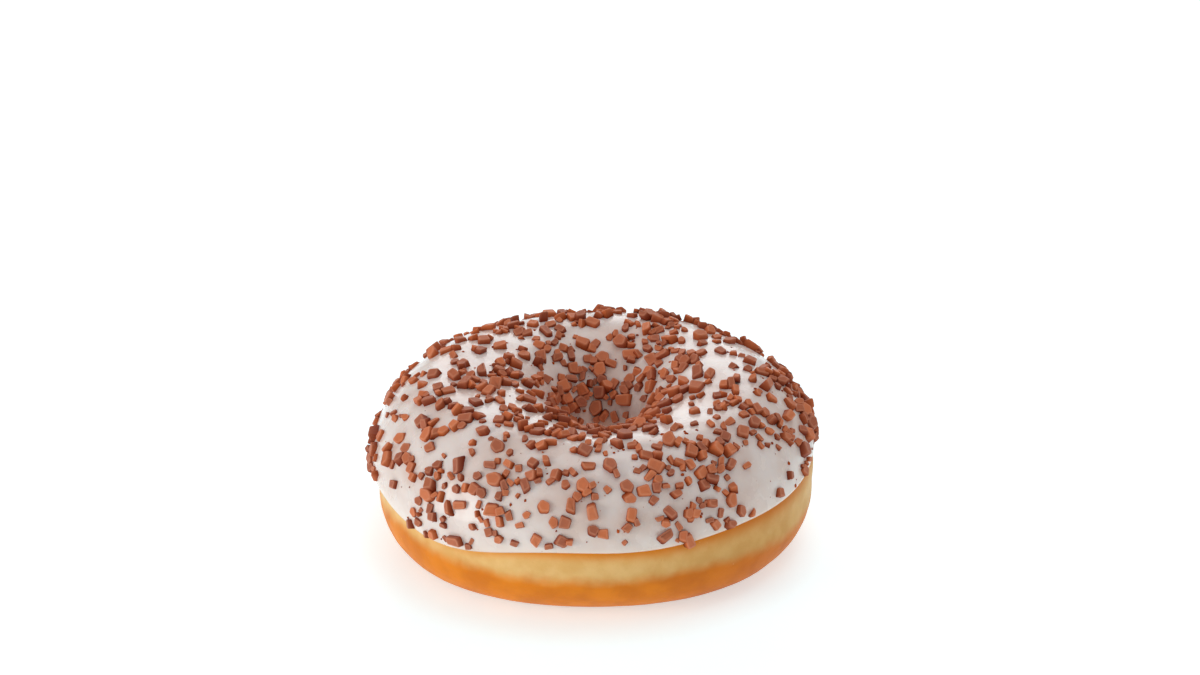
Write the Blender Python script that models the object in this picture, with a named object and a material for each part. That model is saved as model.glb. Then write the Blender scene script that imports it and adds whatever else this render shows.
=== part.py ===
"""An iced ring doughnut: a fried dough ring under white icing that is strewn with chocolate chips.

Metres, +Z up. The ring lies flat on z = 0, its hole runs along Z and its front is towards -Y.
"""

import math
import random

import bmesh
import bpy
from mathutils import Matrix, Vector, noise

MM = 0.001

# The dough ring's section, an uneven superellipse about a core circle
CORE_RADIUS = 28.0 * MM
CORE_HEIGHT = 13.5 * MM
BELT_RADIUS = 43.8 * MM
NECK_RADIUS = 8.85 * MM
CREST_HEIGHT = 32.05 * MM
BELLY_DROP = 14.3 * MM
OUTER_TOP_POWER = 1.95
INNER_TOP_POWER = 2.35
OUTER_FOOT_POWER = 2.5
INNER_FOOT_POWER = 2.3
WAIST_DEPTH = 0.35 * MM
WAIST_HEIGHT = 12.5 * MM
WAIST_REACH = 2.4 * MM

# Unevenness of the rising dough: each wave is its height, its number round the ring and its phase
CORE_WAVES = ((1.2 * MM, 1, 1.57),)
BELT_WAVES = ((0.25 * MM, 1, 0.0), (0.35 * MM, 3, 0.6))
NECK_WAVES = ((1.8 * MM, 1, -1.1), (0.75 * MM, 2, -0.1))
CREST_WAVES = ((0.35 * MM, 1, -1.57), (0.45 * MM, 2, -0.67), (0.18 * MM, 5, 0.0))
INNER_TOP_WAVES = ((0.45, 1, 3.14), (0.70, 2, 0.0))
OUTER_FOOT_WAVES = ((0.10, 2, -2.2), (0.39, 3, 1.8))

# The icing: how thick it is, its edges and the places where its outer edge sags or stays high
ICING_THICKNESS = 1.5 * MM
LIP_THICKNESS = 0.6 * MM
LIP_REACH = 0.9 * MM
LIP_CROWDING = 0.09
TAPER_REACH = 8.0 * MM
ICING_GAP = 0.3 * MM
OUTER_EDGE_HEIGHT = 15.9 * MM
INNER_EDGE_HEIGHT = 13.0 * MM
OUTER_EDGE_WAVES = ((0.9 * MM, 1, -0.1), (0.5 * MM, 3, -1.07), (0.3 * MM, 7, 0.0))
INNER_EDGE_WAVES = ((1.2 * MM, 2, -1.57), (0.8 * MM, 5, -0.57))
SAG_DEPTH = 2.2 * MM
SAG_BEARING = math.radians(-132)
SAG_REACH = 0.42
RISE_HEIGHT = 2.5 * MM
RISE_BEARING = math.radians(-5)
RISE_REACH = 0.8

# How the chocolate chips are strewn: how many, how long, how close and how evenly
CHIP_SEED = 41
CHIP_COUNT = 1060
CAST_CHIP_COUNT = 230
SHORTEST_CHIP = 1.0 * MM
LONGEST_CHIP = 3.3 * MM
USUAL_CHIP = 2.1 * MM
CHIP_SPREAD = 0.27
CLOSEST_CHIPS = 0.40
MOST_TRIES = 150
CHIP_SHARES = (0.02, 0.97)
CHIPS_AT_EDGE = 0.30
CHIPS_ON_TOP = 0.45
EDGE_REACH = 0.10
DEEP_SHARE = 0.80
LOST_IN_HOLE = 0.5
CLUMPING = 1.3
CLUMP_SIZE = 4.0 * MM
THINNEST_CLUMP = 0.15
PATCH_REACH = 5.0 * MM

# Places with more or fewer chips: bearing in degrees, share of the way from the icing's outer edge
# to its inner edge, and the factor on the number of chips
CHIP_PATCHES = (
    (-176, 0.31, 0.16),
    (-176, 0.60, 2.6),
    (-169, 0.27, 0.35),
    (-160, 0.14, 0.30),
    (-154, 0.15, 0.15),
    (-154, 0.48, 0.22),
    (-146, 0.10, 0.15),
    (-109, 0.10, 0.22),
    (-86, 0.10, 0.18),
    (-41, 0.15, 0.15),
    (-41, 0.52, 0.15),
    (-34, 0.10, 0.15),
    (-19, 0.69, 3.2),
    (-4, 0.52, 0.15),
    (-2, 0.10, 3.2),
    (4, 0.23, 2.7),
    (10, 0.16, 3.0),
    (19, 0.35, 0.15),
    (19, 0.69, 3.2),
    (19, 0.77, 0.25),
    (19, 0.81, 0.15),
    (41, 0.73, 3.2),
    (56, 0.44, 3.2),
    (64, 0.56, 3.2),
    (64, 0.85, 3.0),
    (86, 0.94, 0.15),
    (94, 0.85, 2.5),
    (116, 0.65, 3.2),
    (124, 0.81, 3.2),
    (139, 0.65, 3.2),
    (146, 0.40, 0.15),
    (154, 0.52, 0.34),
    (158, 0.16, 0.30),
    (176, 0.44, 0.15),
    (179, 0.10, 0.15),
)

# The broken chips, for one that is one unit long
CHIP_KINDS = 24
MOULD_SEED = 7
LAY_SEED = 51
CORNER_COUNTS = (4, 4, 4, 5)
CORNER_SKEW = 0.15
CORNER_REACH = (0.86, 1.06)
SLIMNESS = (0.58, 0.95)
NARROWING = (0.80, 0.92)
CHIP_FOOT = -0.26
CHIP_TOP = 0.36
CHIP_SLOPE = 0.22
FLATNESS = (0.75, 1.30)
CHIP_LEAN = 0.20
MOST_LEAN = 0.50
LEAST_SINK = 0.3 * MM
MOST_SINK = 0.6 * MM

# How finely the solids are faceted
RING_STEPS = 56
DOUGH_SPANS = ((-59, 0, 7), (0, 100, 5), (100, 180, 7), (180, 242, 4), (242, 301, 2))
ICING_OUTER_STEPS = 15
ICING_UNDERSIDE = (15, 172)
UNDERSIDE_START = 0.02

# The finishes
DOUGH_COLOUR = (0.72, 0.38, 0.12, 1.0)
DOUGH_ROUGHNESS = 0.55
ICING_COLOUR = (0.86, 0.80, 0.76, 1.0)
ICING_ROUGHNESS = 0.3


def waves(angle, terms):
    """The sum of some waves at an angle round the ring."""
    return sum(height * math.cos(number * angle + phase) for height, number, phase in terms)


def hump(angle, bearing, reach):
    """A smooth hump round the ring, 1 at a bearing and almost 0 from two reaches away."""
    return math.exp(-((math.remainder(angle - bearing, math.tau) / reach) ** 2))


def core_radius(angle):
    """Radius of the core, whose circle sits a little towards the front."""
    return CORE_RADIUS + waves(angle, CORE_WAVES)


def belt_radius(angle):
    """Radius of the dough's widest line, which isn't quite round."""
    return BELT_RADIUS + waves(angle, BELT_WAVES)


def neck_radius(angle):
    """Radius of the hole's narrowest line, which sits towards the back right."""
    return NECK_RADIUS + waves(angle, NECK_WAVES)


def crest_height(angle):
    """Height of the dough's crest, which rises and dips round the ring and is lower at the front."""
    return CREST_HEIGHT + waves(angle, CREST_WAVES)


def inner_top_power(angle):
    """How square the shoulder over the hole is: squarest on the left, a funnel at the front and back."""
    return INNER_TOP_POWER + waves(angle, INNER_TOP_WAVES)


def outer_foot_power(angle):
    """How square the outer foot is: it draws in most at the front."""
    return OUTER_FOOT_POWER + waves(angle, OUTER_FOOT_WAVES)


def section(angle, turn):
    """A point of the dough's section and its outward normal, as (radius, height) pairs.

    turn runs round the core: 0 points outwards and a quarter turn points up.
    """
    cos_t, sin_t = math.cos(turn), math.sin(turn)
    outer, upper = cos_t > 0, sin_t > 0
    core = core_radius(angle)
    half_width = belt_radius(angle) - core if outer else core - neck_radius(angle)
    half_height = crest_height(angle) - CORE_HEIGHT if upper else BELLY_DROP
    if upper:
        power = OUTER_TOP_POWER if outer else inner_top_power(angle)
    else:
        power = outer_foot_power(angle) if outer else INNER_FOOT_POWER
    across, along = abs(cos_t) / half_width, abs(sin_t) / half_height
    reach = (across**power + along**power) ** (-1 / power)
    normal = Vector((
        math.copysign((across * reach) ** (power - 1) / half_width, cos_t),
        math.copysign((along * reach) ** (power - 1) / half_height, sin_t),
    )).normalized()
    point = Vector((core + reach * cos_t, CORE_HEIGHT + reach * sin_t))
    if outer:
        point.x -= WAIST_DEPTH * math.exp(-(((point.y - WAIST_HEIGHT) / WAIST_REACH) ** 2))
    return point, normal


def ring_point(angle, turn, lift=0.0):
    """A point of the dough's surface, or lift above it, in space."""
    point, normal = section(angle, turn)
    radius, height = point + normal * lift
    return Vector((radius * math.cos(angle), radius * math.sin(angle), max(height, 0.0)))


def ring_normal(angle, turn):
    """The outward normal of the dough's surface in space."""
    across, along = section(angle, turn)[1]
    return Vector((across * math.cos(angle), across * math.sin(angle), along))


def outer_edge_height(angle):
    """Height of the icing's outer edge: it hangs lowest at the front left and ends highest on the right."""
    sag = SAG_DEPTH * hump(angle, SAG_BEARING, SAG_REACH)
    rise = RISE_HEIGHT * hump(angle, RISE_BEARING, RISE_REACH)
    return OUTER_EDGE_HEIGHT + waves(angle, OUTER_EDGE_WAVES) - sag + rise


def inner_edge_height(angle):
    """Height of the icing's edge inside the hole, with a few low drips."""
    return INNER_EDGE_HEIGHT + waves(angle, INNER_EDGE_WAVES)


def icing_turn(angle, share):
    """The turn at a share of the way from the icing's outer edge to its inner edge."""
    core = core_radius(angle)
    outer = math.atan2(outer_edge_height(angle) - CORE_HEIGHT, belt_radius(angle) - core)
    inner = math.pi - math.atan2(inner_edge_height(angle) - CORE_HEIGHT, core - neck_radius(angle))
    return outer + share * (inner - outer)


def icing_lift(share):
    """How far the icing's outer face stands off the dough: thin at its rounded lips."""
    length = math.pi * 0.5 * (CREST_HEIGHT - CORE_HEIGHT + CORE_RADIUS - NECK_RADIUS)
    distance = min(share, 1 - share) * length
    taper = min(1.0, distance / TAPER_REACH)
    thickness = LIP_THICKNESS + (ICING_THICKNESS - LIP_THICKNESS) * taper * (2 - taper)
    lip = min(1.0, distance / LIP_REACH)
    return ICING_GAP + thickness * math.sqrt(lip * (2 - lip))


def icing_point(angle, share):
    """A point of the icing's outer face."""
    return ring_point(angle, icing_turn(angle, share), icing_lift(share))


def ring_of_sections(name, loops):
    """A closed ring skinned over equal loops of points, one loop for each step of the angle."""
    steps, size = len(loops), len(loops[0])
    points = [point for loop in loops for point in loop]
    faces = []
    for i in range(steps):
        this, following = i * size, (i + 1) % steps * size
        for j in range(size):
            k = (j + 1) % size
            faces.append((this + j, following + j, following + k, this + k))
    mesh = bpy.data.meshes.new(name)
    mesh.from_pydata(points, [], faces)
    mesh.shade_smooth()
    ring = bpy.data.objects.new(name, mesh)
    bpy.context.scene.collection.objects.link(ring)
    return ring


def ring_angles():
    """The angles of the sections round the hole."""
    return [math.tau * step / RING_STEPS for step in range(RING_STEPS)]


def dough_turns():
    """Turns of the dough's facet lines: fine at the outer foot and the shoulder over the hole."""
    turns = []
    for first, last, steps in DOUGH_SPANS:
        turns += [math.radians(first + (last - first) * step / steps) for step in range(steps)]
    return turns


def make_dough():
    """The whole dough ring, flat where it rests."""
    turns = dough_turns()
    return ring_of_sections("dough", [[ring_point(a, turn) for turn in turns] for a in ring_angles()])


def make_icing_shell():
    """The icing without its chips: a ring shell with rounded lips, whose underside has the dough's facets."""
    outward = [lip_spaced(step / ICING_OUTER_STEPS) for step in range(ICING_OUTER_STEPS + 1)]
    first, last = (math.radians(bound) for bound in ICING_UNDERSIDE)
    inward = [turn for turn in reversed(dough_turns()) if first < turn < last]
    loops = []
    for angle in ring_angles():
        outer_face = [icing_point(angle, share) for share in outward]
        start = icing_turn(angle, UNDERSIDE_START)
        inner_face = [ring_point(angle, max(turn, start), ICING_GAP) for turn in inward]
        loops.append(outer_face + inner_face)
    return ring_of_sections("icing", loops)


def lip_spaced(share):
    """Spreads even shares so that they crowd a little towards both lips."""
    return share - LIP_CROWDING * math.sin(math.tau * share)


def chip_abundance(share, place, patches):
    """How many chips fall at a place: the chance that one thrown there stays."""
    inside = min(1.0, max(0.0, share / EDGE_REACH))
    inwards = min(1.0, max(0.0, (share - DEEP_SHARE) / (1 - DEEP_SHARE)))
    amount = (CHIPS_AT_EDGE + (CHIPS_ON_TOP - CHIPS_AT_EDGE) * inside) * (1 - LOST_IN_HOLE * inwards)
    amount *= max(THINNEST_CLUMP, 1.0 + CLUMPING * noise.noise(place / CLUMP_SIZE))
    for middle, factor in patches:
        amount *= factor ** math.exp(-(((place - middle).length / PATCH_REACH) ** 2))
    return amount


def chip_sites():
    """Where the largest chips lie, largest first: each is (angle, share, length, place).

    The lengths of all the chips are drawn, and the largest are thrown so that they keep off each other.
    """
    draw = random.Random(CHIP_SEED)
    lengths = [USUAL_CHIP * math.exp(draw.gauss(0, CHIP_SPREAD)) for _ in range(CHIP_COUNT)]
    lengths = sorted((min(LONGEST_CHIP, max(SHORTEST_CHIP, x)) for x in lengths), reverse=True)
    patches = [(icing_point(math.radians(bearing), share), factor) for bearing, share, factor in CHIP_PATCHES]
    sites = []
    for length in lengths[:CAST_CHIP_COUNT]:
        for _ in range(MOST_TRIES):
            angle, share = draw.uniform(-math.pi, math.pi), draw.uniform(*CHIP_SHARES)
            chance = draw.random()
            place = icing_point(angle, share)
            if chance > chip_abundance(share, place, patches) * Vector(place.xy).length / BELT_RADIUS:
                continue
            if all((place - other[3]).length > CLOSEST_CHIPS * (length + other[2]) for other in sites):
                sites.append((angle, share, length, place))
                break
    return sites


def mould_corners(kind):
    """The lower and upper corners of one kind of broken chip: its top is smaller and slopes a little."""
    draw = random.Random(MOULD_SEED + kind)
    count = draw.choice(CORNER_COUNTS)
    slimness, narrowing = draw.uniform(*SLIMNESS), draw.uniform(*NARROWING)
    slope_x, slope_y = draw.uniform(-CHIP_SLOPE, CHIP_SLOPE), draw.uniform(-CHIP_SLOPE, CHIP_SLOPE)
    lower, upper = [], []
    for corner in range(count):
        bearing = math.tau * (corner + 0.5 + draw.uniform(-CORNER_SKEW, CORNER_SKEW)) / count
        reach = 0.5 / math.cos(math.pi / count) * draw.uniform(*CORNER_REACH)
        x, y = reach * math.cos(bearing), reach * slimness * math.sin(bearing)
        lower.append(Vector((x, y, CHIP_FOOT)))
        upper.append(Vector((x * narrowing, y * narrowing, CHIP_TOP + slope_x * x + slope_y * y)))
    return lower, upper


def chip_place(draw, site):
    """The matrix that lays a chip of one unit on its site, turned and leaning by the draw."""
    angle, share, length, place = site
    yaw, flatness = draw.uniform(0, math.tau), draw.uniform(*FLATNESS)
    lean_x, lean_y = (max(-MOST_LEAN, min(MOST_LEAN, draw.gauss(0, CHIP_LEAN))) for _ in "XY")
    normal = ring_normal(angle, icing_turn(angle, share))
    onward = Vector((-math.sin(angle), math.cos(angle), 0))
    stand = Matrix((onward, normal.cross(onward), normal)).transposed().to_4x4()
    turn = Matrix.Rotation(lean_x, 4, "X") @ Matrix.Rotation(lean_y, 4, "Y") @ Matrix.Rotation(yaw, 4, "Z")
    size = Matrix.Diagonal((length, length, length * flatness, 1))
    return Matrix.Translation(place) @ stand @ turn @ size


def sunk(point, site):
    """The point, moved up or down to lie well in the icing: no chip reaches through it or stands off it."""
    angle, share, _, place = site
    normal = ring_normal(angle, icing_turn(angle, share))
    height = (point - place).dot(normal)
    return point + normal * (min(-LEAST_SINK, max(-MOST_SINK, height)) - height)


def make_chip(name, draw, site, collection):
    """One chip sunk in the icing."""
    lower, upper = mould_corners(draw.randrange(CHIP_KINDS))
    place = chip_place(draw, site)
    points = [sunk(place @ corner, site) for corner in lower] + [place @ corner for corner in upper]
    count = len(lower)
    faces = [(0, i + 1, i) for i in range(1, count - 1)]
    faces += [(count, count + i, count + i + 1) for i in range(1, count - 1)]
    for i in range(count):
        following = (i + 1) % count
        faces += [(i, following, following + count), (i, following + count, i + count)]
    mesh = bpy.data.meshes.new(name)
    mesh.from_pydata(points, [], faces)
    chip = bpy.data.objects.new(name, mesh)
    collection.objects.link(chip)


def fill_hollows(piece):
    """Fills the hollows that the fusing sealed, by keeping only the piece's outer shell."""
    mesh = bmesh.new()
    mesh.from_mesh(piece.data)
    unseen = set(mesh.faces)
    shells = []
    while unseen:
        shell, edge = set(), {unseen.pop()}
        while edge:
            shell |= edge
            edge = {other for face in edge for side in face.edges for other in side.link_faces} - shell
        unseen -= shell
        shells.append(shell)
    outer = max(shells, key=len)
    hollows = [face for shell in shells if shell is not outer for face in shell]
    bmesh.ops.delete(mesh, geom=hollows, context="FACES")
    mesh.to_mesh(piece.data)
    mesh.free()


def fuse_chips(icing):
    """Joins the largest chips to the icing as one solid."""
    chips = bpy.data.collections.new("chips")
    bpy.context.scene.collection.children.link(chips)
    draw = random.Random(LAY_SEED)
    for number, site in enumerate(chip_sites()):
        make_chip(f"chip_{number}", draw, site, chips)
    union = icing.modifiers.new("fuse_chips", "BOOLEAN")
    union.operation = "UNION"
    union.operand_type = "COLLECTION"
    union.collection = chips
    union.solver = "MANIFOLD"
    bpy.context.view_layer.objects.active = icing
    bpy.ops.object.modifier_apply(modifier=union.name)
    for chip in list(chips.objects):
        bpy.data.objects.remove(chip)
    bpy.data.collections.remove(chips)
    fill_hollows(icing)


def give_material(piece, name, colour, roughness):
    """A plain surface finish for one piece."""
    material = bpy.data.materials.new(name)
    material.use_nodes = True
    shader = material.node_tree.nodes["Principled BSDF"]
    shader.inputs["Base Color"].default_value = colour
    shader.inputs["Roughness"].default_value = roughness
    piece.data.materials.clear()
    piece.data.materials.append(material)


def main():
    """Clears the scene and builds both pieces."""
    for leftover in list(bpy.data.objects):
        bpy.data.objects.remove(leftover)
    dough = make_dough()
    give_material(dough, "fried_dough", DOUGH_COLOUR, DOUGH_ROUGHNESS)
    icing = make_icing_shell()
    fuse_chips(icing)
    give_material(icing, "white_icing", ICING_COLOUR, ICING_ROUGHNESS)


main()
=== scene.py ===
"""Dresses an iced ring doughnut: fried dough, set white icing and milk chocolate chips.

The frame gives two solids, the dough ring and the icing with its largest chips. Finer pieces of the same form
stand for them here. They repeat the ring's section, the icing's edges and the rule that strews the chips, so
each chip lies where its solid does. Metres, +Z up; the ring's front is towards -Y.
"""

import logging
import math
import random
from collections.abc import Callable, Sequence
from dataclasses import dataclass, field
from enum import Enum

import bpy
from mathutils import Matrix, Vector, noise


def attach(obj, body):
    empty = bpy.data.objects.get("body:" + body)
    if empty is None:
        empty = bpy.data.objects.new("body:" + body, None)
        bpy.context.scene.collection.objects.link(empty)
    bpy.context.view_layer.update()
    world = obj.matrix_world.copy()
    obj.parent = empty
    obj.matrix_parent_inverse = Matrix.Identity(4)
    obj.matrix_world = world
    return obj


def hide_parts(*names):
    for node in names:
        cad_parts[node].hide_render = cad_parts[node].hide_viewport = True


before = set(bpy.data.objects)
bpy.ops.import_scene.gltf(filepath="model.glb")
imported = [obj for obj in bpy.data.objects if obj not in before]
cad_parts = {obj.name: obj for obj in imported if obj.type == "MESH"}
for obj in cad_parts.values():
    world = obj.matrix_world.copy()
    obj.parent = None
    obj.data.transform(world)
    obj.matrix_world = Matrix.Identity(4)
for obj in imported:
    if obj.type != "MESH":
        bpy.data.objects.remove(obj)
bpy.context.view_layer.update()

MM = 0.001
BODY = "root"
LIT_POINT = Vector((0, 0, 0.02))
LOG = logging.getLogger("doughnut")

Pair = tuple[float, float]
Colour = tuple[float, float, float]

# Each wave is its height, its number round the ring and its phase
Waves = tuple[tuple[float, int, float], ...]


class Slot(Enum):
    """The record's material slots."""

    DOUGH = "dough"
    ICING = "icing"
    CHOCOLATE = "chocolate"


class Elements(Enum):
    """What is selected in edit mode."""

    EDGES = "EDGE"
    FACES = "FACE"


def hump(angle: float, bearing: float, reach: float) -> float:
    """A smooth hump round the ring, 1 at a bearing and almost 0 from two reaches away."""
    return math.exp(-((math.remainder(angle - bearing, math.tau) / reach) ** 2))


def clamp(value: float) -> float:
    """Keeps a number from 0 to 1."""
    return min(1.0, max(0.0, value))


def waves(angle: float, terms: Waves) -> float:
    """The sum of some waves at an angle round the ring."""
    return sum(height * math.cos(number * angle + phase) for height, number, phase in terms)


@dataclass(frozen=True)
class RingForm:
    """The dough ring's form: an uneven superellipse section about a core circle."""

    core: float = 28.0 * MM
    core_height: float = 13.5 * MM
    belt: float = 43.8 * MM
    neck: float = 8.85 * MM
    crest: float = 32.05 * MM
    belly_drop: float = 14.3 * MM
    outer_top: float = 1.95
    inner_top: float = 2.35
    outer_foot: float = 2.5
    inner_foot: float = 2.3
    waist_depth: float = 0.35 * MM
    waist_height: float = 12.5 * MM
    waist_reach: float = 2.4 * MM
    core_waves: Waves = ((1.2 * MM, 1, 1.57),)
    belt_waves: Waves = ((0.25 * MM, 1, 0.0), (0.35 * MM, 3, 0.6))
    neck_waves: Waves = ((1.8 * MM, 1, -1.1), (0.75 * MM, 2, -0.1))
    crest_waves: Waves = ((0.35 * MM, 1, -1.57), (0.45 * MM, 2, -0.67), (0.18 * MM, 5, 0.0))
    inner_top_waves: Waves = ((0.45, 1, 3.14), (0.70, 2, 0.0))
    outer_foot_waves: Waves = ((0.10, 2, -2.2), (0.39, 3, 1.8))

    def core_radius(self, angle: float) -> float:
        """Radius of the core, whose circle sits a little towards the front."""
        return self.core + waves(angle, self.core_waves)

    def belt_radius(self, angle: float) -> float:
        """Radius of the widest line, which isn't quite round."""
        return self.belt + waves(angle, self.belt_waves)

    def neck_radius(self, angle: float) -> float:
        """Radius of the hole's narrowest line, which sits towards the back right."""
        return self.neck + waves(angle, self.neck_waves)

    def crest_height(self, angle: float) -> float:
        """Height of the crest, which rises and dips round the ring and is lower at the front."""
        return self.crest + waves(angle, self.crest_waves)

    def inner_top_power(self, angle: float) -> float:
        """How square the shoulder over the hole is: squarest on the left, a funnel at the front and back."""
        return self.inner_top + waves(angle, self.inner_top_waves)

    def outer_foot_power(self, angle: float) -> float:
        """How square the outer foot is: it draws in most at the front."""
        return self.outer_foot + waves(angle, self.outer_foot_waves)

    def section(self, angle: float, turn: float) -> tuple[Vector, Vector]:
        """A point of the section and its outward normal.

        Args:
            angle: Where the section is cut, round the hole.
            turn: Where on the section, round its core: 0 is outwards and a quarter turn is up.

        Returns:
            The point and the normal, each as (radius, height).
        """
        cos_t, sin_t = math.cos(turn), math.sin(turn)
        outer, upper = cos_t > 0, sin_t > 0
        core = self.core_radius(angle)
        half_width = self.belt_radius(angle) - core if outer else core - self.neck_radius(angle)
        half_height = self.crest_height(angle) - self.core_height if upper else self.belly_drop
        if upper:
            power = self.outer_top if outer else self.inner_top_power(angle)
        else:
            power = self.outer_foot_power(angle) if outer else self.inner_foot
        across, along = abs(cos_t) / half_width, abs(sin_t) / half_height
        reach = (across**power + along**power) ** (-1 / power)
        normal = Vector((
            math.copysign((across * reach) ** (power - 1) / half_width, cos_t),
            math.copysign((along * reach) ** (power - 1) / half_height, sin_t),
        )).normalized()
        point = Vector((core + reach * cos_t, self.core_height + reach * sin_t))
        if outer:
            point.x -= self.waist_depth * math.exp(-(((point.y - self.waist_height) / self.waist_reach) ** 2))
        return point, normal

    def point(self, angle: float, turn: float, lift: float = 0.0) -> Vector:
        """A point of the ring's surface, or lift above it, in space."""
        point, normal = self.section(angle, turn)
        radius, height = point + normal * lift
        return Vector((radius * math.cos(angle), radius * math.sin(angle), max(height, 0.0)))

    def normal(self, angle: float, turn: float) -> Vector:
        """The outward normal of the ring's surface, in space."""
        across, along = self.section(angle, turn)[1]
        return Vector((across * math.cos(angle), across * math.sin(angle), along))


@dataclass(frozen=True)
class IcingForm:
    """The icing's form: how far down it comes on both sides and how thick it lies."""

    ring: RingForm = RingForm()
    thickness: float = 1.5 * MM
    lip_thickness: float = 0.6 * MM
    lip_reach: float = 0.9 * MM
    taper_reach: float = 8.0 * MM
    gap: float = 0.3 * MM
    outer_edge: float = 15.9 * MM
    inner_edge: float = 13.0 * MM
    outer_edge_waves: Waves = ((0.9 * MM, 1, -0.1), (0.5 * MM, 3, -1.07), (0.3 * MM, 7, 0.0))
    inner_edge_waves: Waves = ((1.2 * MM, 2, -1.57), (0.8 * MM, 5, -0.57))
    sag_depth: float = 2.2 * MM
    sag_bearing: float = math.radians(-132)
    sag_reach: float = 0.42
    rise_height: float = 2.5 * MM
    rise_bearing: float = math.radians(-5)
    rise_reach: float = 0.8
    lip_crowding: float = 0.09

    def outer_edge_height(self, angle: float) -> float:
        """Height of the outer edge: it hangs lowest at the front left and ends highest on the right."""
        sag = self.sag_depth * hump(angle, self.sag_bearing, self.sag_reach)
        rise = self.rise_height * hump(angle, self.rise_bearing, self.rise_reach)
        return self.outer_edge + waves(angle, self.outer_edge_waves) - sag + rise

    def inner_edge_height(self, angle: float) -> float:
        """Height of the edge inside the hole, with a few low drips."""
        return self.inner_edge + waves(angle, self.inner_edge_waves)

    def turn(self, angle: float, share: float) -> float:
        """The turn at a share of the way from the outer edge to the inner edge."""
        ring = self.ring
        core = ring.core_radius(angle)
        outer = math.atan2(self.outer_edge_height(angle) - ring.core_height, ring.belt_radius(angle) - core)
        inner = math.atan2(self.inner_edge_height(angle) - ring.core_height, core - ring.neck_radius(angle))
        return outer + share * (math.pi - inner - outer)

    def length(self) -> float:
        """About how long the way over the crest is, from edge to edge."""
        ring = self.ring
        return math.pi * 0.5 * (ring.crest - ring.core_height + ring.core - ring.neck)

    def lift(self, share: float) -> float:
        """How far the outer face stands off the dough: thin at its rounded lips."""
        distance = min(share, 1 - share) * self.length()
        taper = min(1.0, distance / self.taper_reach)
        thickness = self.lip_thickness + (self.thickness - self.lip_thickness) * taper * (2 - taper)
        lip = min(1.0, distance / self.lip_reach)
        return self.gap + thickness * math.sqrt(lip * (2 - lip))

    def lip_spaced(self, share: float) -> float:
        """Spreads even shares so that they crowd a little towards both lips."""
        return share - self.lip_crowding * math.sin(math.tau * share)

    def point(self, angle: float, share: float) -> Vector:
        """A point of the icing's outer face."""
        return self.ring.point(angle, self.turn(angle, share), self.lift(share))

    def normal(self, angle: float, share: float) -> Vector:
        """The outward normal of the dough under a point of the icing."""
        return self.ring.normal(angle, self.turn(angle, share))


@dataclass(frozen=True)
class Site:
    """Where one chip lies, and how long it is."""

    angle: float
    share: float
    length: float
    place: Vector


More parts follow.
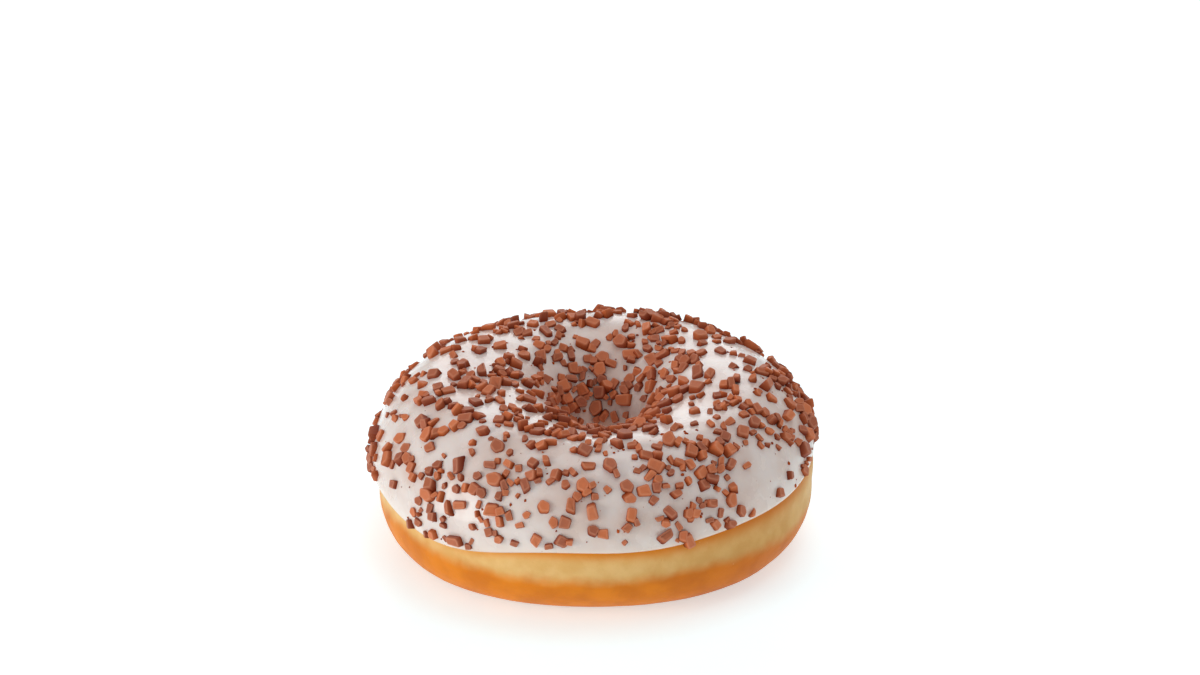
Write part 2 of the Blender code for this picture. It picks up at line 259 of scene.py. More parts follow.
@dataclass(frozen=True)
class StrewingRule:
    """The seeded rule that strews the chips over the icing, largest first."""

    icing: IcingForm = IcingForm()
    seed: int = 41
    count: int = 1060
    cast_count: int = 230
    shortest: float = 1.0 * MM
    longest: float = 3.3 * MM
    usual: float = 2.1 * MM
    spread: float = 0.27
    closest: float = 0.40
    closest_small: float = 0.30
    most_tries: int = 150
    shares: Pair = (0.02, 0.97)
    at_edge: float = 0.30
    on_top: float = 0.45
    edge_reach: float = 0.10
    deep: float = 0.80
    lost_in_hole: float = 0.5
    clumping: float = 1.3
    clump_size: float = 4.0 * MM
    thinnest: float = 0.15
    patch_reach: float = 5.0 * MM

    # Each patch is its bearing in degrees, its share of the way in and the factor on its chips
    patches: tuple[tuple[float, float, float], ...] = (
        (-176, 0.31, 0.16),
        (-176, 0.60, 2.6),
        (-169, 0.27, 0.35),
        (-160, 0.14, 0.30),
        (-154, 0.15, 0.15),
        (-154, 0.48, 0.22),
        (-146, 0.10, 0.15),
        (-109, 0.10, 0.22),
        (-86, 0.10, 0.18),
        (-41, 0.15, 0.15),
        (-41, 0.52, 0.15),
        (-34, 0.10, 0.15),
        (-19, 0.69, 3.2),
        (-4, 0.52, 0.15),
        (-2, 0.10, 3.2),
        (4, 0.23, 2.7),
        (10, 0.16, 3.0),
        (19, 0.35, 0.15),
        (19, 0.69, 3.2),
        (19, 0.77, 0.25),
        (19, 0.81, 0.15),
        (41, 0.73, 3.2),
        (56, 0.44, 3.2),
        (64, 0.56, 3.2),
        (64, 0.85, 3.0),
        (86, 0.94, 0.15),
        (94, 0.85, 2.5),
        (116, 0.65, 3.2),
        (124, 0.81, 3.2),
        (139, 0.65, 3.2),
        (146, 0.40, 0.15),
        (154, 0.52, 0.34),
        (158, 0.16, 0.30),
        (176, 0.44, 0.15),
        (179, 0.10, 0.15),
    )

    def middles(self) -> list[tuple[Vector, float]]:
        """The middle of each patch with more or fewer chips, and the factor on their number there."""
        place = self.icing.point
        return [(place(math.radians(bearing), share), factor) for bearing, share, factor in self.patches]

    def abundance(self, share: float, place: Vector, middles: Sequence[tuple[Vector, float]]) -> float:
        """How many chips fall at a place.

        Args:
            share: The share of the way from the icing's outer edge to its inner edge.
            place: The place on the icing.
            middles: The patches.

        Returns:
            The chance that a chip thrown there stays.
        """
        inside = clamp(share / self.edge_reach)
        inwards = clamp((share - self.deep) / (1 - self.deep))
        amount = (self.at_edge + (self.on_top - self.at_edge) * inside) * (1 - self.lost_in_hole * inwards)
        amount *= max(self.thinnest, 1.0 + self.clumping * noise.noise(place / self.clump_size))
        for middle, factor in middles:
            amount *= factor ** math.exp(-(((place - middle).length / self.patch_reach) ** 2))
        return amount

    def sites(self) -> list[Site]:
        """Throws the chips: large ones first, which keep off each other, and small ones between and on them.

        Returns:
            The sites, the largest chip's first.
        """
        draw = random.Random(self.seed)
        lengths = [self.usual * math.exp(draw.gauss(0, self.spread)) for _ in range(self.count)]
        lengths = sorted((min(self.longest, max(self.shortest, x)) for x in lengths), reverse=True)
        middles = self.middles()
        belt = self.icing.ring.belt
        sites: list[Site] = []
        for number, length in enumerate(lengths):
            closest = self.closest if number < self.cast_count else self.closest_small
            for _ in range(self.most_tries):
                angle, share = draw.uniform(-math.pi, math.pi), draw.uniform(*self.shares)
                chance = draw.random()
                place = self.icing.point(angle, share)
                if chance > self.abundance(share, place, middles) * Vector(place.xy).length / belt:
                    continue
                if all((place - site.place).length > closest * (length + site.length) for site in sites):
                    sites.append(Site(angle, share, length, place))
                    break
        return sites


def deselect() -> None:
    """Leaves nothing selected, so that the next operator acts on its own piece alone."""
    bpy.ops.object.select_all(action="DESELECT")


def make_active(piece: bpy.types.Object) -> None:
    """Selects one piece alone and makes it the active one."""
    deselect()
    piece.select_set(True)
    bpy.context.view_layer.objects.active = piece


def spin_ring(name: str, steps: int, rows: int, place: Callable[[float, int], Vector]) -> bpy.types.Object:
    """Spins a section round the hole and draws each of its vertices out to where a rule puts it.

    Args:
        name: The piece's name.
        steps: How many sections stand round the hole.
        rows: How many vertices each section has.
        place: Gives the place of a vertex from its angle round the hole and its number in the section.

    Returns:
        The piece, closed and smooth shaded, at the origin.
    """
    deselect()
    ring = RingForm()
    bpy.ops.mesh.primitive_circle_add(
        vertices=rows,
        radius=ring.belly_drop,
        location=(ring.core, 0, ring.core_height),
        rotation=(math.pi / 2, 0, 0),
    )
    bpy.ops.object.transform_apply(location=True, rotation=True)
    piece = bpy.context.object
    piece.name = piece.data.name = name
    numbers = piece.data.attributes.new("row", "INT", "POINT")
    numbers.data.foreach_set("value", range(rows))
    for row, vertex in enumerate(piece.data.vertices):
        vertex.co = place(0.0, row)
    bpy.ops.object.mode_set(mode="EDIT")
    bpy.ops.mesh.select_all(action="SELECT")
    bpy.ops.mesh.spin(steps=steps, angle=math.tau, center=(0, 0, 0), axis=(0, 0, 1))
    bpy.ops.mesh.select_all(action="SELECT")
    bpy.ops.mesh.remove_doubles(threshold=0.01 * MM)
    bpy.ops.mesh.normals_make_consistent(inside=False)
    bpy.ops.object.mode_set(mode="OBJECT")
    for vertex, row in zip(piece.data.vertices, section_rows(piece)):
        vertex.co = place(math.atan2(vertex.co.y, vertex.co.x), row)
    bpy.ops.object.shade_smooth()
    return piece


def section_rows(piece: bpy.types.Object) -> list[int]:
    """The number in the section of each of a spun piece's vertices."""
    rows = [0] * len(piece.data.vertices)
    piece.data.attributes["row"].data.foreach_get("value", rows)
    return rows


def weigh(piece: bpy.types.Object, group: str, weight: Callable[[Vector], float]) -> None:
    """Gives a piece a vertex group whose weight follows the place of each vertex."""
    made = piece.vertex_groups.new(name=group)
    for vertex in piece.data.vertices:
        made.add([vertex.index], weight(vertex.co), "REPLACE")


def emboss(piece: bpy.types.Object, size: float, depth: float, group: str) -> None:
    """Presses soft lumps into a piece along its normals.

    Args:
        piece: The piece.
        size: About how large the lumps are.
        depth: How far the highest stands above the lowest.
        group: The vertex group that limits them.
    """
    texture = bpy.data.textures.new(f"{piece.name}_lumps", "CLOUDS")
    texture.noise_scale = size
    modifier = piece.modifiers.new("relief", "DISPLACE")
    modifier.texture = texture
    modifier.texture_coords = "LOCAL"
    modifier.strength = depth
    modifier.mid_level = 0.5
    modifier.vertex_group = group
    make_active(piece)
    bpy.ops.object.modifier_apply(modifier=modifier.name)
    bpy.data.textures.remove(texture)


def mark(piece: bpy.types.Object, name: str, values: Sequence[float]) -> None:
    """Stores one number for each vertex, which the finish reads by name."""
    attribute = piece.data.attributes.new(name, "FLOAT", "POINT")
    attribute.data.foreach_set("value", values)


class Bench:
    """Lays out one material's nodes and wires them."""

    def __init__(self, name: str) -> None:
        """Starts a material that holds only its shader and its output."""
        self.material = bpy.data.materials.new(name)
        self.material.use_nodes = True
        self.tree = self.material.node_tree
        self.shader = self.tree.nodes["Principled BSDF"]
        self.place = self.add("ShaderNodeTexCoord").outputs["Object"]

    def add(self, kind: str, **settings: object) -> bpy.types.Node:
        """Adds a node and sets what it is told to."""
        node = self.tree.nodes.new(kind)
        for key, value in settings.items():
            setattr(node, key, value)
        return node

    def wire(self, socket: bpy.types.NodeSocket, value: object) -> None:
        """Wires an input to a socket, or sets it to any other value."""
        if isinstance(value, bpy.types.NodeSocket):
            self.tree.links.new(value, socket)
        else:
            socket.default_value = value

    def feed(self, node: bpy.types.Node, **inputs: object) -> bpy.types.Node:
        """Sets or wires a node's inputs.

        Args:
            node: The node.
            inputs: Its inputs by name, with _ for a blank; a socket is wired and anything else is set.

        Returns:
            The node.
        """
        for key, value in inputs.items():
            self.wire(node.inputs[key.replace("_", " ")], value)
        return node

    def attribute(self, name: str) -> bpy.types.NodeSocket:
        """A number that was stored on the mesh."""
        return self.add("ShaderNodeAttribute", attribute_name=name).outputs["Fac"]

    def noise(self, size: float, detail: float = 3.0, seed: float = 0.0) -> bpy.types.NodeSocket:
        """Soft noise with lumps of about a size, from 0 to 1 about a half."""
        node = self.add("ShaderNodeTexNoise", noise_dimensions="4D")
        self.feed(node, Vector=self.place, W=seed, Scale=1 / size, Detail=detail)
        return node.outputs["Fac"]

    def cells(self, size: float, seed: float = 0.0) -> bpy.types.NodeSocket:
        """The distance to the nearest of many scattered points, in cells."""
        node = self.add("ShaderNodeTexVoronoi", voronoi_dimensions="4D")
        self.feed(node, Vector=self.place, W=seed, Scale=1 / size)
        return node.outputs["Distance"]

    def math(self, operation: str, first: object, second: object = 0.0) -> bpy.types.NodeSocket:
        """One sum on two numbers or sockets."""
        node = self.add("ShaderNodeMath", operation=operation)
        for socket, value in zip(node.inputs, (first, second)):
            self.wire(socket, value)
        return node.outputs[0]

    def fade(self, value: bpy.types.NodeSocket, low: float, high: float) -> bpy.types.NodeSocket:
        """Turns a range of a number smoothly into 0 to 1."""
        node = self.add("ShaderNodeMapRange", interpolation_type="SMOOTHSTEP")
        self.feed(node, Value=value, From_Min=low, From_Max=high)
        return node.outputs["Result"]

    def blend(self, factor: object, first: object, second: object, mode: str = "MIX") -> bpy.types.NodeSocket:
        """Mixes two colours.

        Args:
            factor: How much of the second, a number or a socket.
            first: A colour or a socket.
            second: A colour or a socket.
            mode: The way of mixing.

        Returns:
            The mixed colour.
        """
        node = self.add("ShaderNodeMix", data_type="RGBA", blend_type=mode)
        for socket, value in ((node.inputs[0], factor), (node.inputs[6], first), (node.inputs[7], second)):
            self.wire(socket, (*value, 1.0) if isinstance(value, tuple) else value)
        return node.outputs[2]

    def soften(self, weight: float, colours: Colour, reach: float) -> None:
        """Lets some light into the surface: how much, how far in each colour, and how far at most."""
        self.feed(self.shader, Subsurface_Weight=weight, Subsurface_Radius=colours, Subsurface_Scale=reach)

    def bump(self, height: bpy.types.NodeSocket, depth: float) -> None:
        """Adds a bump of a real depth on top of any that is there already."""
        node = self.feed(self.add("ShaderNodeBump"), Height=height, Distance=depth, Strength=1.0)
        normal = self.shader.inputs["Normal"]
        if normal.links:
            self.feed(node, Normal=normal.links[0].from_socket)
        self.wire(normal, node.outputs["Normal"])


@dataclass(frozen=True)
class CrustFinish:
    """Fried dough: a golden foot, a pale belt above it and a fried line under the icing."""

    deep: Colour = (0.65, 0.175, 0.004)
    golden: Colour = (0.77, 0.225, 0.005)
    # painted shade: the dark greyish colour the foot takes just above the floor
    floor_shade_colour: Colour = (0.36, 0.15, 0.05)
    pale: Colour = (0.76, 0.435, 0.14)
    cream: Colour = (0.83, 0.52, 0.20)
    line: Colour = (0.76, 0.225, 0.004)
    speck: Colour = (0.85, 0.45, 0.12)
    # painted shade: the tint that darkens the ring's right front side
    painted_side_shade: Colour = (0.84, 0.74, 0.60)
    roughness: float = 0.5
    shine: float = 0.17
    border: Pair = (-1.9, 1.5)
    border_wander: float = 3.0
    wander_size: float = 5.0 * MM
    foot_mottle: float = 6.0 * MM
    foot_contrast: Pair = (0.35, 0.65)
    belt_mottle: float = 3.5 * MM
    belt_contrast: Pair = (0.35, 0.70)
    # painted shade: the heights over which the foot darkens towards the floor
    floor_shade: Pair = (2.2 * MM, 0.2 * MM)
    deepest_floor_shade: float = 0.5
    blister_size: float = 1.5 * MM
    blister_depth: float = 0.06 * MM
    blister_edge: Pair = (0.0, 0.2)
    speck_edge: Pair = (0.14, 0.05)
    speck_strength: float = 0.35
    grain_size: float = 0.7 * MM
    grain_depth: float = 0.05 * MM
    softness: float = 0.12
    soft_colours: Colour = (1.0, 0.5, 0.2)
    soft_reach: float = 1.5 * MM

    def make(self) -> bpy.types.Material:
        """Builds the material; it reads the height above the foot, the fried line and the painted shade on
        the right side.
        """
        bench = Bench("fried_dough")
        above = bench.attribute("above_foot")
        blotch = bench.noise(self.wander_size, seed=1.0)
        wander = bench.math("MULTIPLY", bench.math("SUBTRACT", blotch, 0.5), self.border_wander)
        above = bench.math("ADD", above, wander)
        mottle = bench.fade(bench.noise(self.foot_mottle, 4.0, 2.0), *self.foot_contrast)
        foot = bench.blend(mottle, self.deep, self.golden)
        height = bench.add("ShaderNodeSeparateXYZ")
        bench.feed(height, Vector=bench.place)
        # painted shade: the foot darkens towards the floor it stands on
        floor_shade = bench.fade(height.outputs["Z"], *self.floor_shade)
        foot = bench.blend(bench.math("MULTIPLY", floor_shade, self.deepest_floor_shade), foot, self.floor_shade_colour)
        mottle = bench.fade(bench.noise(self.belt_mottle, 4.0, 3.0), *self.belt_contrast)
        belt = bench.blend(mottle, self.pale, self.cream)
        colour = bench.blend(bench.fade(above, *self.border), foot, belt)
        colour = bench.blend(bench.attribute("fried_line"), colour, self.line)
        # painted shade: the right front side is multiplied darker
        colour = bench.blend(bench.attribute("side_shade"), colour, self.painted_side_shade, "MULTIPLY")
        blisters = bench.cells(self.blister_size, 4.0)
        specks = bench.math("MULTIPLY", bench.fade(blisters, *self.speck_edge), self.speck_strength)
        colour = bench.blend(specks, colour, self.speck)
        bench.feed(bench.shader, Base_Color=colour, Roughness=self.roughness, Specular_IOR_Level=self.shine)
        bench.soften(self.softness, self.soft_colours, self.soft_reach)
        bench.bump(bench.noise(self.grain_size, 4.0, 5.0), self.grain_depth)
        bench.bump(bench.fade(blisters, *self.blister_edge), self.blister_depth)
        return bench.material


@dataclass(frozen=True)
class IcingFinish:
    """Set white sugar icing: smooth, satin and a little translucent, warmer where it thins out, with painted
    shade down its sides and in the hole.
    """

    white: Colour = (0.82, 0.74, 0.715)
    warm: Colour = (0.74, 0.60, 0.55)
    # the colour of thin icing over the dough, also used for painted shade down the sides and in the hole
    thin: Colour = (0.76, 0.55, 0.40)
    cocoa: Colour = (0.45, 0.20, 0.12)
    roughness: float = 0.26
    roughness_range: float = 0.2
    cloud_size: float = 9.0 * MM
    cloud_contrast: Pair = (0.36, 0.66)
    dust_size: float = 0.8 * MM
    dust_contrast: Pair = (0.70, 0.78)
    dust_strength: float = 0.35
    gloss_size: float = 4.0 * MM
    coat: float = 0.3
    coat_roughness: float = 0.15
    softness: float = 0.25
    soft_colours: Colour = (1.0, 0.7, 0.5)
    soft_reach: float = 1.2 * MM
    ripple_size: float = 2.2 * MM
    ripple_depth: float = 0.06 * MM

    def make(self) -> bpy.types.Material:
        """Builds the material; it reads how thin the icing is, together with painted shade down its sides and
        in the hole.
        """
        bench = Bench("white_icing")
        cloud = bench.fade(bench.noise(self.cloud_size, 3.0, 1.0), *self.cloud_contrast)
        colour = bench.blend(cloud, self.white, self.warm)
        # thin icing at the lips, and painted shade down the sides and in the hole
        colour = bench.blend(bench.attribute("thinness_and_shade"), colour, self.thin)
        dust = bench.fade(bench.noise(self.dust_size, 2.0, 2.0), *self.dust_contrast)
        colour = bench.blend(bench.math("MULTIPLY", dust, self.dust_strength), colour, self.cocoa)
        gloss = bench.math("MULTIPLY_ADD", bench.noise(self.gloss_size, 3.0, 3.0), self.roughness_range)
        gloss.node.inputs[2].default_value = self.roughness - self.roughness_range / 2
        bench.feed(bench.shader, Base_Color=colour, Roughness=gloss)
        bench.feed(bench.shader, Coat_Weight=self.coat, Coat_Roughness=self.coat_roughness)
        bench.soften(self.softness, self.soft_colours, self.soft_reach)
        bench.bump(bench.noise(self.ripple_size, 3.0, 4.0), self.ripple_depth)
        return bench.material


@dataclass(frozen=True)
class ChocolateFinish:
    """Milk chocolate: matt, with paler edges and tops that are partly rubbed and partly painted highlight,
    painted shade on its low sides, and a tone of its own for each chip.
    """

    dark: Colour = (0.27, 0.030, 0.003)
    light: Colour = (0.60, 0.120, 0.020)
    # partly rubbed chocolate, partly painted highlight: the paler colour of each chip's rim and top
    rubbed_and_highlit: Colour = (0.84, 0.43, 0.28)
    # painted shade: the colour the chip's low sides darken towards
    low: Colour = (0.14, 0.014, 0.003)
    roughness: float = 0.45
    shine: float = 0.12
    mottle_size: float = 0.9 * MM
    mottle: float = 0.5
    # how strong the rubbing and painted highlight on the rim and top are
    rubbing_and_highlight: float = 0.38
    # how strong the painted shade on the low sides is
    shading: float = 0.9
    grain_size: float = 0.5 * MM
    grain_depth: float = 0.06 * MM

    def make(self) -> bpy.types.Material:
        """Builds the material; it reads each chip's tone, its rim, paler partly from rubbing and partly from
        painted highlight, and its low sides, which take painted shade.
        """
        bench = Bench("milk_chocolate")
        uneven = bench.math("SUBTRACT", bench.noise(self.mottle_size, 4.0, 1.0), 0.5)
        tone = bench.math("ADD", bench.attribute("tone"), bench.math("MULTIPLY", uneven, self.mottle))
        colour = bench.blend(bench.fade(tone, 0.0, 1.0), self.dark, self.light)
        # the rim is paler partly from rubbing and partly from painted highlight; the low sides take painted
        # shade
        for name, strength, own in (("rim", self.rubbing_and_highlight, self.rubbed_and_highlit), ("low", self.shading, self.low)):
            colour = bench.blend(bench.math("MULTIPLY", bench.attribute(name), strength), colour, own)
        bench.feed(bench.shader, Base_Color=colour, Roughness=self.roughness, Specular_IOR_Level=self.shine)
        bench.bump(bench.noise(self.grain_size, 3.0, 2.0), self.grain_depth)
        return bench.material


@dataclass(frozen=True)
class FloorFinish:
    """A plain pale studio floor."""

    pale: Colour = (0.71, 0.88, 0.93)
    paler: Colour = (0.73, 0.90, 0.95)
    lit: Colour = (0.475, 0.50, 0.515)
    roughness: float = 0.8
    cloud_size: float = 400 * MM

    def make(self) -> bpy.types.Material:
        """Builds the material, which is very faintly clouded and lit from below, as a light table is."""
        bench = Bench("studio_floor")
        colour = bench.blend(bench.noise(self.cloud_size), self.pale, self.paler)
        bench.feed(bench.shader, Base_Color=colour, Roughness=self.roughness)
        bench.feed(bench.shader, Emission_Color=(*self.lit, 1.0), Emission_Strength=1.0)
        return bench.material


def finish_piece(piece: bpy.types.Object, material: bpy.types.Material, slot: Slot, *nodes: str) -> None:
    """Dresses a piece, fixes it to the body and reports it.

    Args:
        piece: The piece, in place.
        material: Its material.
        slot: The record's slot for the piece's finish; not used.
        nodes: The solids that it stands for.
    """
    piece.data.materials.clear()
    piece.data.materials.append(material)
    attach(piece, BODY)
    if nodes:
        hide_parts(*nodes)
    box = [round(side / MM, 1) for side in piece.dimensions]
    LOG.info("%s: %d faces, %s mm", piece.name, len(piece.data.polygons), box)


@dataclass
class Dough:
    """The fried ring, with its fine skin."""

    ring: RingForm = field(default_factory=RingForm)
    icing: IcingForm = field(default_factory=IcingForm)
    steps: int = 440

    # Each span is its first and last turn in degrees and its number of points
    spans: tuple[tuple[float, float, int], ...] = (
        (-66, 12, 84),
        (12, 168, 26),
        (168, 236, 36),
        (236, 294, 22),
    )
    lump_size: float = 11.0 * MM
    lump_depth: float = 0.35 * MM
    skin_size: float = 2.2 * MM
    skin_depth: float = 0.07 * MM
    flat_reach: float = 2.0 * MM
    foot_height: float = 9.9 * MM

    # Each swell is its bearing in degrees, its reach and its height
    foot_swells: tuple[tuple[float, float, float], ...] = (
        (-150, 0.40, 1.3 * MM),
        (-61, 0.17, 0.8 * MM),
        (-35, 0.30, -0.4 * MM),
    )
    line_fade: Pair = (math.radians(-145), 0.5)
    line_strengths: Pair = (0.97, 0.85)
    line_widths: Pair = (1.2, 1.1)
    line_widest: float = math.radians(-25)
    # painted shade: where the shade on the right front side is deepest, and its reach
    deepest_side_shade: Pair = (math.radians(-40), 0.5)

    def turns(self) -> list[float]:
        """The turns of the section's points: close together where the dough shows."""
        turns: list[float] = []
        for first, last, rows in self.spans:
            turns += [math.radians(first + (last - first) * row / rows) for row in range(rows)]
        return turns

    def foot_border(self, angle: float) -> float:
        """Height of the border between the browned foot and the pale belt."""
        height = self.foot_height
        for bearing, reach, rise in self.foot_swells:
            height += rise * hump(angle, math.radians(bearing), reach)
        return height

    def line_strength(self, angle: float) -> float:
        """How plain the fried line under the icing is: it fades out at the front left."""
        most, loss = self.line_strengths
        return most - loss * hump(angle, *self.line_fade)

    def line_width(self, angle: float) -> float:
        """How far down the fried line reaches, in mm: it is widest on the right."""
        least, more = self.line_widths
        return least + more * max(0.0, math.cos(angle - self.line_widest))

    def build(self) -> bpy.types.Object:
        """Models the ring: its section spun round the hole and embossed.

        Returns:
            The piece.
        """
        turns = self.turns()
        point = self.ring.point
        piece = spin_ring("fried_dough", self.steps, len(turns), lambda angle, row: point(angle, turns[row]))
        weigh(piece, "shown", lambda co: clamp(co.z / self.flat_reach))
        emboss(piece, self.lump_size, self.lump_depth, "shown")
        emboss(piece, self.skin_size, self.skin_depth, "shown")
        return piece

    def dress(self, piece: bpy.types.Object) -> None:
        """Marks the foot, the fried line and the painted shade on the right front side and gives the piece
        its crust.
        """
        above, line, side_shade = [], [], []
        for vertex in piece.data.vertices:
            co = vertex.co
            angle = math.atan2(co.y, co.x)
            above.append((co.z - self.foot_border(angle)) / MM)
            # painted shade: strongest on the right front side, fading round the ring
            side_shade.append(hump(angle, *self.deepest_side_shade))
            radius = math.hypot(co.x, co.y)
            under = (self.icing.outer_edge_height(angle) - co.z) / MM
            outside = 1.0 if radius > self.ring.core else 0.0
            nearness = math.exp(-((max(under, 0.0) / self.line_width(angle)) ** 2))
            line.append(outside * self.line_strength(angle) * nearness)
        mark(piece, "above_foot", above)
        mark(piece, "fried_line", line)
        mark(piece, "side_shade", side_shade)
        finish_piece(piece, CrustFinish().make(), Slot.DOUGH, "dough")


@dataclass
class Icing:
    """The icing coat, closed below by its face on the dough."""

    form: IcingForm = field(default_factory=IcingForm)
    steps: int = 400
    outer_rows: int = 130
    inner_rows: int = 24
    bury: float = 0.25 * MM
    wave_size: float = 8.0 * MM
    wave_depth: float = 0.45 * MM
    ripple_size: float = 3.0 * MM
    ripple_depth: float = 0.10 * MM
    smooth_rows: int = 8
    thin_lip: Pair = (0.5, 1.2 * MM)
    # partly real thinning, partly painted shade: darkens the coat far down both sides and into the hole
    thin_and_shaded_side: Pair = (0.30, 14.0 * MM)

    def place(self, angle: float, row: int) -> Vector:
        """The place of a vertex: the first rows run over the outer face and the rest back under it."""
        if row <= self.outer_rows:
            return self.form.point(angle, self.form.lip_spaced(row / self.outer_rows))
        share = 1 - (row - self.outer_rows) / self.inner_rows
        return self.form.ring.point(angle, self.form.turn(angle, share), -self.bury)

    def build(self) -> bpy.types.Object:
        """Models the coat: its section spun round the hole, with soft waves on top.

        Returns:
            The piece.
        """
        rows = self.outer_rows + self.inner_rows
        piece = spin_ring("white_icing", self.steps, rows, self.place)
        shown = piece.vertex_groups.new(name="shown")
        for number, row in enumerate(section_rows(piece)):
            inward = min(row, self.outer_rows - row) / self.smooth_rows
            shown.add([number], clamp(inward), "REPLACE")
        emboss(piece, self.wave_size, self.wave_depth, "shown")
        emboss(piece, self.ripple_size, self.ripple_depth, "shown")
        return piece

    def dress(self, piece: bpy.types.Object) -> None:
        """Marks where the coat thins out and where painted shade falls down its sides and into the hole, and
        gives it its finish.
        """
        thin = []
        for row in section_rows(piece):
            way = min(row, abs(self.outer_rows - row)) / self.outer_rows * self.form.length()
            # the lip term is real thinning; the side term is partly painted shade
            thin.append(sum(most * math.exp(-way / reach) for most, reach in (self.thin_lip, self.thin_and_shaded_side)))
        mark(piece, "thinness_and_shade", thin)
        finish_piece(piece, IcingFinish().make(), Slot.ICING, "icing")


@dataclass(frozen=True)
class Mould:
    """One kind of broken chip, one unit long, which is modelled once and then copied."""

    kind: int
    seed: int = 7
    foot: float = -0.26
    top: float = 0.36
    slope: float = 0.22
    counts: tuple[int, ...] = (4, 4, 4, 5)
    slimness: Pair = (0.58, 0.95)
    narrowing: Pair = (0.80, 0.92)
    skew: float = 0.15
    reaches: Pair = (0.86, 1.06)
    corner_width: float = 0.13
    rim_width: float = 0.08
    inset_width: float = 0.07
    rim_reach: float = 0.14
    # partly rubbing, partly painted highlight: how much paler the top face is
    rubbed_and_highlit_top: float = 0.6
    lit_share: float = 0.3

    def corners(self) -> tuple[list[Vector], list[Vector]]:
        """The chip's lower and upper corners about its middle: its top is smaller and slopes a little."""
        draw = random.Random(self.seed + self.kind)
        count = draw.choice(self.counts)
        slimness, narrowing = draw.uniform(*self.slimness), draw.uniform(*self.narrowing)
        slope_x, slope_y = draw.uniform(-self.slope, self.slope), draw.uniform(-self.slope, self.slope)
        lower, upper = [], []
        for corner in range(count):
            bearing = math.tau * (corner + 0.5 + draw.uniform(-self.skew, self.skew)) / count
            reach = 0.5 / math.cos(math.pi / count) * draw.uniform(*self.reaches)
            x, y = reach * math.cos(bearing), reach * slimness * math.sin(bearing)
            lower.append(Vector((x, y, self.foot)))
            upper.append(Vector((x * narrowing, y * narrowing, self.top + slope_x * x + slope_y * y)))
        return lower, upper

    def build(self) -> bpy.types.Mesh:
        """Models the chip: a prism with a smaller, sloping top, whose rim and corners are rounded off.

        Returns:
            The mesh, flat shaded, with the rim of its top marked for rubbing and painted highlight, and its
            sides marked for painted shade.
        """
        lower, upper = self.corners()
        deselect()
        bpy.ops.mesh.primitive_cylinder_add(vertices=len(lower), radius=0.5, depth=1.0)
        chip = bpy.context.object
        for level, places in ((False, lower), (True, upper)):
            corners = [vertex for vertex in chip.data.vertices if (vertex.co.z > 0) == level]
            corners.sort(key=lambda vertex: math.atan2(vertex.co.y, vertex.co.x))
            for vertex, place in zip(corners, sorted(places, key=lambda place: math.atan2(place.y, place.x))):
                vertex.co = place
        for edges, width in ((crosses_middle, self.corner_width), (is_upper, self.rim_width)):
            select_in_edit_mode(chip, Elements.EDGES, edges)
            bpy.ops.mesh.bevel(offset=width, segments=2, profile=0.5, clamp_overlap=True)
            bpy.ops.object.mode_set(mode="OBJECT")
        select_in_edit_mode(chip, Elements.FACES, is_top)
        bpy.ops.mesh.inset(thickness=self.inset_width)
        bpy.ops.mesh.select_all(action="SELECT")
        bpy.ops.mesh.normals_make_consistent(inside=False)
        bpy.ops.object.mode_set(mode="OBJECT")
        places = [vertex.co for vertex in chip.data.vertices]
        tops = [face.vertices for face in chip.data.polygons if is_top([places[i] for i in face.vertices])]
        inner = {index for top in tops for index in top}
        rim = [max(0.0, 1.0 - self.depth_below_top(place, upper) / self.rim_reach) for place in places]
        # the rim and top are paler: partly rubbing, partly painted highlight
        mark(chip, "rim", [self.rubbed_and_highlit_top if i in inner else nearness for i, nearness in enumerate(rim)])
        # painted shade: darker towards the chip's foot, all but its upper share
        mark(chip, "low", [clamp(1 - place.z / self.top - self.lit_share) for place in places])
        mesh = chip.data
        bpy.data.objects.remove(chip)
        return mesh

    def depth_below_top(self, place: Vector, upper: Sequence[Vector]) -> float:
        """How far a point lies below the chip's sloping top, which runs through its upper corners."""
        across, along = upper[1] - upper[0], upper[2] - upper[0]
        return abs((place - upper[0]).dot(across.cross(along).normalized()))


def is_upper(places: Sequence[Vector]) -> bool:
    """Whether an edge of a chip lies above its middle."""
    return min(place.z for place in places) > 0


def crosses_middle(places: Sequence[Vector]) -> bool:
    """Whether an edge of a chip runs from below its middle to above it."""
    return max(place.z for place in places) > 0 > min(place.z for place in places)


def is_top(places: Sequence[Vector]) -> bool:
    """Whether a face is the flat top of a chip, which has more corners than any face of its rim."""
    return len(places) > 4 and is_upper(places)


def select_in_edit_mode(
    piece: bpy.types.Object, elements: Elements, wanted: Callable[[list[Vector]], bool]
) -> None:
    """Opens a piece in edit mode with some of its faces or edges selected.

    Args:
        piece: The piece, which is the active object.
        elements: Whether faces or edges are selected.
        wanted: Tells from the places of its corners whether a face or an edge is selected.
    """
    bpy.ops.object.mode_set(mode="EDIT")
    bpy.ops.mesh.select_mode(type=elements.value)
    bpy.ops.mesh.select_all(action="DESELECT")
    bpy.ops.object.mode_set(mode="OBJECT")
    mesh = piece.data
    for part in mesh.polygons if elements is Elements.FACES else mesh.edges:
        part.select = wanted([mesh.vertices[index].co for index in part.vertices])
    bpy.ops.object.mode_set(mode="EDIT")


def join_copies(name: str, copies: Sequence[tuple[bpy.types.Mesh, Matrix, float]]) -> bpy.types.Object:
    """Copies modelled meshes into place and joins the copies.

    Args:
        name: The piece's name.
        copies: For each copy its mesh, its place and its tone, from 0 to 1.

    Returns:
        The piece, at the origin.
    """
    deselect()
    for mesh, place, tone in copies:
        copy = mesh.copy()
        copy.transform(place)
        item = bpy.data.objects.new(name, copy)
        bpy.context.scene.collection.objects.link(item)
        mark(item, "tone", [tone] * len(copy.vertices))
        item.select_set(True)
        bpy.context.view_layer.objects.active = item
    bpy.ops.object.join()
    piece = bpy.context.object
    piece.name = piece.data.name = name
    return piece


